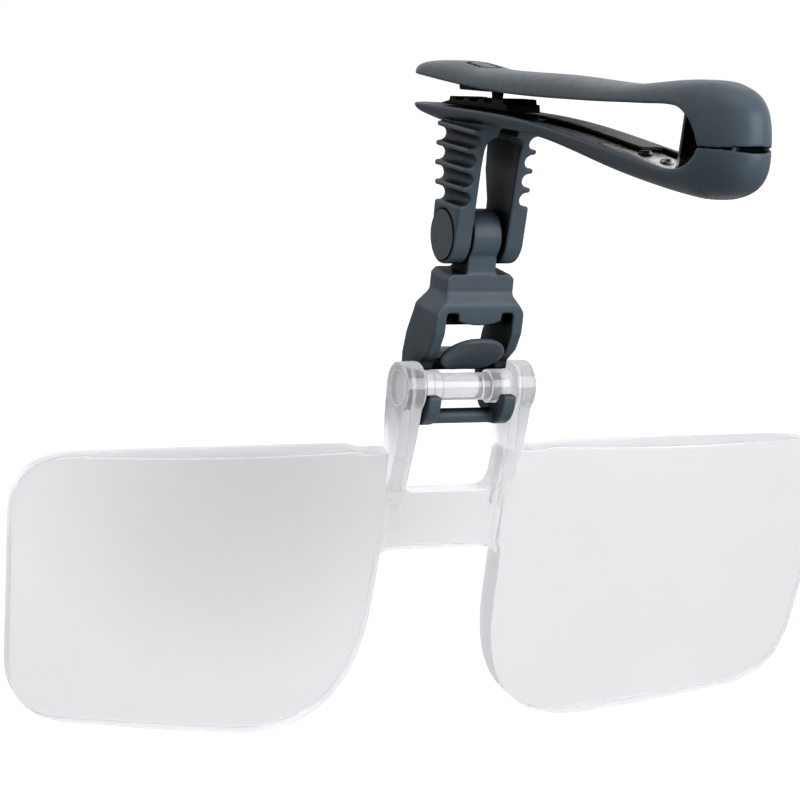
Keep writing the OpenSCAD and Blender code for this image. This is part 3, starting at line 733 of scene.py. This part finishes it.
def noise(tree, scale, detail, rough=0.55, stretch=None):
    n = tree.nodes.new("ShaderNodeTexNoise")
    n.inputs["Scale"].default_value = scale
    n.inputs["Detail"].default_value = detail
    n.inputs["Roughness"].default_value = rough
    place = coordinate(tree)
    if stretch:
        mapping = tree.nodes.new("ShaderNodeMapping")
        mapping.inputs["Scale"].default_value = stretch
        feed(tree, mapping.inputs["Vector"], place)
        place = mapping.outputs["Vector"]
    feed(tree, n.inputs["Vector"], place)
    return n.outputs["Fac"]


def varied(tree, pattern, low, high, half=0.2):
    """A level or colour that follows a noise pattern, within half of a range round 0.5."""
    return ramp(tree, pattern, (0.5 - half, low), (0.5 + half, high))


def axis_of(tree, vector, axis):
    n = tree.nodes.new("ShaderNodeSeparateXYZ")
    feed(tree, n.inputs["Vector"], vector)
    return n.outputs[axis]


def bump(tree, shader, height, strength, depth):
    n = tree.nodes.new("ShaderNodeBump")
    n.inputs["Strength"].default_value = strength
    n.inputs["Distance"].default_value = depth
    feed(tree, n.inputs["Height"], height)
    feed(tree, shader["Normal"], n.outputs["Normal"])


# Moulded plastic, with painted shade in its recesses
PAINTED_SHADE_REACH = 0.006
PAINTED_SHADE_SAMPLES = 8
PAINTED_SHADE_DARK = (0.45, 0.04)
PAINTED_SHADE_OPEN = (0.92, 1.0)
TONE_SCALE = 90
TONE_HALF = 0.15
SHEEN_SCALE = 900
SHEEN_SPREAD = 0.05
GRAIN_SCALE = 5200
GRAIN_DEPTH = 0.00003


def moulded(name, dark, light, rough, grain, gloss):
    """Moulded plastic with painted shade: it turns darker and less glossy in its recesses."""
    material, tree, shader = new_material(name)
    # Painted shade: an occlusion test makes the colour darker and the gloss weaker where the plastic
    # lies in a recess, where shade falls.
    recess = tree.nodes.new("ShaderNodeAmbientOcclusion")
    recess.samples = PAINTED_SHADE_SAMPLES
    recess.inputs["Distance"].default_value = PAINTED_SHADE_REACH
    shade = ramp(tree, recess.outputs["AO"], PAINTED_SHADE_DARK, PAINTED_SHADE_OPEN)
    tone = varied(tree, noise(tree, TONE_SCALE, detail=5), dark, light, TONE_HALF)
    sheen = varied(tree, noise(tree, SHEEN_SCALE, detail=3), rough - SHEEN_SPREAD, rough + SHEEN_SPREAD)
    feed(tree, shader["Base Color"], mixed(tree, 1, tone, shade, "MULTIPLY"))
    feed(tree, shader["Roughness"], sheen)
    feed(tree, shader["Specular IOR Level"], maths(tree, "MULTIPLY", shade, gloss))
    bump(tree, shader, noise(tree, GRAIN_SCALE, detail=2), grain, GRAIN_DEPTH)
    return material


# Spring steel, bright where it lies low in the jaw, with a painted dark reflection where it stands up
STREAK_SCALE = 2500
STREAK_STRETCH = (1, 0.04, 1)
STREAK_BUMP = 0.15
STREAK_DEPTH = 0.00002
BRIGHT_BELOW = -0.0056
PAINTED_DARK_ABOVE = -0.0046
BRIGHT_STEEL = ((0.68, 0.67, 0.66), (0.8, 0.79, 0.78))
PAINTED_DARK_REFLECTION = ((0.05, 0.035, 0.03), (0.09, 0.065, 0.055))
STEEL_ROUGH = (0.2, 0.32)


def steel_material():
    material, tree, shader = new_material("spring_steel")
    shader["Metallic"].default_value = 1
    streaks = noise(tree, STREAK_SCALE, detail=3, rough=0.6, stretch=STREAK_STRETCH)
    height = axis_of(tree, coordinate(tree), "Z")
    # Painted dark reflection: above a height the strip's colour turns dark brown, for the dark
    # surroundings that it mirrors where it stands up.
    rise = ranged(tree, height, BRIGHT_BELOW, PAINTED_DARK_ABOVE)
    bright = varied(tree, streaks, *BRIGHT_STEEL)
    dark = varied(tree, streaks, *PAINTED_DARK_REFLECTION)
    feed(tree, shader["Base Color"], mixed(tree, rise, bright, dark))
    feed(tree, shader["Roughness"], varied(tree, streaks, *STEEL_ROUGH))
    bump(tree, shader, streaks, STREAK_BUMP, STREAK_DEPTH)
    return material


# Clear plastic, with painted shade on the lens and a painted glow on its side faces. Places are in
# metres
PAINTED_LENS_SHADE_MIDDLE = (-0.026, 0.0, -0.046)
PAINTED_LENS_SHADE_NEAR = 0.008
PAINTED_LENS_SHADE_FAR = 0.036
CLOUD_SCALE = 30
CLOUD_LEVELS = (0.97, 1.0)
ARMS_START_Z = -0.048
ARMS_FULL_Z = -0.042
ARMS_HALF_W = 0.013
ARMS_FULL_HALF_W = 0.011
ARMS_TINT = (0.88, 0.88, 0.89)
EDGE_START = 0.85
EDGE_FULL = 0.4
PAINTED_EDGE_GLOW = 0.25
PAINTED_EDGE_GLOW_AT_ARMS = 0.4
PAINTED_EDGE_GLOW_COLOUR = (0.95, 0.96, 1)
CLEAR_IOR = 1.49
CLEAR_SPECULAR = 0.35


def lens_painted_shade(tree, painted_grey, light):
    """Painted shade: greyer round the middle of the left lens, with faint clouds."""
    away = tree.nodes.new("ShaderNodeVectorMath")
    away.operation = "DISTANCE"
    feed(tree, away.inputs[0], coordinate(tree))
    away.inputs[1].default_value = PAINTED_LENS_SHADE_MIDDLE
    far = ranged(tree, away.outputs["Value"], PAINTED_LENS_SHADE_NEAR, PAINTED_LENS_SHADE_FAR)
    # Painted shade: the colour is greyest near a point in the left lens and lighter away from it.
    grey = ramp(tree, far, (0.0, painted_grey), (1.0, light))
    cloud = varied(tree, noise(tree, CLOUD_SCALE, detail=2), *CLOUD_LEVELS)
    return mixed(tree, 1, grey, cloud, "MULTIPLY")


def arms_mask(tree):
    """1 at the arms and the bar, and 0 at the lenses."""
    place = coordinate(tree)
    high = ranged(tree, axis_of(tree, place, "Z"), ARMS_START_Z, ARMS_FULL_Z)
    aside = maths(tree, "ABSOLUTE", axis_of(tree, place, "X"))
    near = ranged(tree, aside, ARMS_HALF_W, ARMS_FULL_HALF_W)
    return maths(tree, "MULTIPLY", high, near)


def clear_material(name, painted_grey, light, rough, through, frost):
    """Clear plastic that is hazier at the arms and the bar, with frosted side faces that carry a
    painted glow, standing in for light that the plastic carries to its edges. rough and through are
    pairs of levels: at the lenses and the arms."""
    material, tree, shader = new_material(name)
    arms = arms_mask(tree)
    facing = maths(tree, "ABSOLUTE", axis_of(tree, coordinate(tree, "Normal"), "Y"))
    frosted = ranged(tree, facing, EDGE_START, EDGE_FULL, to_max=frost)
    # Painted glow: side faces give off a little light of their own, less at the arms, standing in for
    # light that the plastic carries to its edges.
    painted_glow = ranged(tree, facing, EDGE_START, EDGE_FULL, to_max=PAINTED_EDGE_GLOW)
    faint = ranged(tree, arms, to_min=1.0, to_max=PAINTED_EDGE_GLOW_AT_ARMS)
    colour = mixed(tree, arms, lens_painted_shade(tree, painted_grey, light), rgba(ARMS_TINT), "MULTIPLY")
    haze = ranged(tree, arms, to_min=rough[0], to_max=rough[1])
    passed = ranged(tree, arms, to_min=through[0], to_max=through[1])
    feed(tree, shader["Base Color"], colour)
    feed(tree, shader["Roughness"], maths(tree, "MAXIMUM", haze, frosted))
    feed(tree, shader["Transmission Weight"], passed)
    feed(tree, shader["Emission Strength"], maths(tree, "MULTIPLY", painted_glow, faint))
    shader["Emission Color"].default_value = rgba(PAINTED_EDGE_GLOW_COLOUR)
    shader["IOR"].default_value = CLEAR_IOR
    shader["Specular IOR Level"].default_value = CLEAR_SPECULAR
    return material


# The part's materials, by the slots of its record
def make_materials():
    return {
        "slate_plastic": moulded("slate_plastic", dark=(0.047, 0.065, 0.082),
                                 light=(0.055, 0.075, 0.094), rough=0.38, grain=0.2, gloss=0.2),
        "black_grip": moulded("black_grip", dark=(0.005, 0.005, 0.006),
                              light=(0.01, 0.01, 0.011), rough=0.55, grain=0.5, gloss=0.25),
        "black_insert": moulded("black_insert", dark=(0.006, 0.006, 0.007),
                                light=(0.011, 0.011, 0.012), rough=0.42, grain=0.3, gloss=0.3),
        "spring_steel": steel_material(),
        "clear_frame": clear_material("clear_frame", painted_grey=(0.86, 0.86, 0.87),
                                      light=(0.93, 0.935, 0.945), rough=(0.12, 0.12),
                                      through=(0.74, 0.74), frost=0.3),
        "clear_lens": clear_material("clear_lens", painted_grey=(0.63, 0.63, 0.64),
                                     light=(0.84, 0.845, 0.86), rough=(0.05, 0.1),
                                     through=(0.82, 0.8), frost=0.4),
    }


def paint_cad(materials):
    for part in frame["record"]["subparts"]:
        for slot in frame["nodes"][part["node"]].material_slots:
            slot.material = materials[part["material_slot"]]


# The pieces that stand for CAD nodes: the name, voxel, smoothing rounds and triangles of each
# piece that is a softened copy, with the slot and the body that it takes
SOFT_COPIES = {
    "swing_link": ("link_moulding", 0.13, 22, 60000, "slate_plastic", "swing_arm"),
    "upper_grip_pad": ("upper_pad", 0.08, 3, 12000, "black_grip", "upper_clip"),
    "lower_grip_pad": ("lower_pad", 0.08, 3, 20000, "black_grip", "lower_clip"),
    # The retainer's long black strip along the far side of the lower jaw's channel is partly a real
    # insert and partly painted shade, standing in for the shade of the channel's far wall.
    "spring_retainer": ("retainer_moulding", 0.07, 2, 10000, "black_insert", "lower_clip"),
}

# Width and segments of the soft edge on each CAD node that stays
CHAMFERS = {
    "fork_hinge_pin": (0.3, 3), "hinge_pin_cap": (0.3, 3), "spring_rivets": (0.05, 2),
    "jaw_hinge_pin": (0.08, 2), "friction_washers": (0.05, 2),
}


def dress_all(materials):
    def dress(obj, slot, *nodes):
        obj.data.materials.clear()
        obj.data.materials.append(materials[slot])
        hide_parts(*nodes)

    upper = make_upper_jaw()
    dress(upper, "slate_plastic", "upper_jaw")
    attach(upper, "upper_clip")
    lower = make_lower_jaw()
    dress(lower, "slate_plastic", "lower_jaw")
    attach(lower, "lower_clip")
    for cad_node, (name, voxel, rounds, triangles, slot, body) in SOFT_COPIES.items():
        piece = soften(copy_of(cad_node, name), voxel, rounds, triangles)
        dress(piece, slot, cad_node)
        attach(piece, body)
    spring = make_spring()
    dress(spring, "spring_steel", "clip_spring")
    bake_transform(spring)
    whole = make_clear_frame()
    dress(whole, "clear_lens", "lens_yoke", "left_lens", "right_lens", "tilt_bar")
    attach(whole, "lens_frame")
    for cad_node, (width, segments) in CHAMFERS.items():
        chamfer(cad_node, width, segments)


# Floor and light, in metres
FLOOR_DROP = 0.004
FLOOR_HALF = 3.0
WHITE_NEAR = 0.25
WHITE_FAR = 1.2
FLOOR_NEAR_LEVEL = 0.86
FLOOR_THROUGH_LEVEL = 0.66
FLOOR_PAINT = 0.42
FLOOR_MIRROR_LEVEL = 0.28
WORLD_LIGHT = 0.3
LIGHT_TARGET = Vector((0, -0.01, -0.04))


def floor_material():
    """White to the camera, with the object's shadow, a pale grey seen through clear plastic
    and a darker grey in mirror rays. Transmission rays count as glossy too, so they come off."""
    material = bpy.data.materials.new("floor")
    material.use_nodes = True
    tree = material.node_tree
    tree.nodes.clear()
    path = tree.nodes.new("ShaderNodeLightPath").outputs
    away = tree.nodes.new("ShaderNodeVectorMath")
    away.operation = "LENGTH"
    feed(tree, away.inputs[0], coordinate(tree))
    white = ranged(tree, away.outputs["Value"], WHITE_NEAR, WHITE_FAR, FLOOR_NEAR_LEVEL, 1.0)
    direct = maths(tree, "MULTIPLY", white, path["Is Camera Ray"])
    through = maths(tree, "MULTIPLY", path["Is Transmission Ray"], FLOOR_THROUGH_LEVEL)
    mirrored = maths(tree, "SUBTRACT", path["Is Glossy Ray"], path["Is Transmission Ray"],
                     clamp=True)
    glow = tree.nodes.new("ShaderNodeEmission")
    feed(tree, glow.inputs["Strength"], maths(tree, "MAXIMUM", direct, through))
    paint = tree.nodes.new("ShaderNodeBsdfDiffuse")
    paint.inputs["Color"].default_value = rgba(FLOOR_PAINT)
    both = tree.nodes.new("ShaderNodeAddShader")
    feed(tree, both.inputs[0], paint.outputs[0])
    feed(tree, both.inputs[1], glow.outputs[0])
    dim = tree.nodes.new("ShaderNodeEmission")
    dim.inputs["Color"].default_value = rgba(FLOOR_MIRROR_LEVEL)
    choose = tree.nodes.new("ShaderNodeMixShader")
    feed(tree, choose.inputs[0], mirrored)
    feed(tree, choose.inputs[1], both.outputs[0])
    feed(tree, choose.inputs[2], dim.outputs[0])
    out = tree.nodes.new("ShaderNodeOutputMaterial")
    feed(tree, out.inputs["Surface"], choose.outputs[0])
    return material


def make_floor():
    low = cad_box[0].z - FLOOR_DROP
    corners = [(x * FLOOR_HALF, y * FLOOR_HALF, low) for x, y in ((-1, -1), (1, -1), (1, 1), (-1, 1))]
    mesh = bpy.data.meshes.new("floor")
    mesh.from_pydata(corners, [], [(0, 1, 2, 3)])
    mesh.materials.append(floor_material())
    add_object("floor", mesh)


def make_world():
    """White to the camera, in mirrors and through clear plastic, and a plain light for the rest."""
    world = bpy.data.worlds.new("studio")
    scene.world = world
    world.use_nodes = True
    tree = world.node_tree
    path = tree.nodes.new("ShaderNodeLightPath").outputs
    looking = maths(tree, "MAXIMUM", path["Is Camera Ray"], path["Is Glossy Ray"])
    looking = maths(tree, "MAXIMUM", looking, path["Is Transmission Ray"])
    background = tree.nodes["Background"].inputs
    background["Color"].default_value = rgba(1)
    feed(tree, background["Strength"], ranged(tree, looking, to_min=WORLD_LIGHT, to_max=1.0))


def softbox(name, place, size, power):
    light = bpy.data.lights.new(name, "AREA")
    light.size = size
    light.energy = power
    lamp = add_object(name, light)
    lamp.location = place
    lamp.rotation_mode = "QUATERNION"
    lamp.rotation_quaternion = (LIGHT_TARGET - Vector(place)).to_track_quat("-Z", "Y")


scene.view_settings.view_transform = "Standard"
make_camera()
make_floor()
make_world()
softbox("key", place=(0.22, -0.75, 0.14), size=0.9, power=12.5)
softbox("top", place=(-0.25, 0.05, 0.76), size=0.7, power=2.2)
materials = make_materials()
paint_cad(materials)
dress_all(materials)
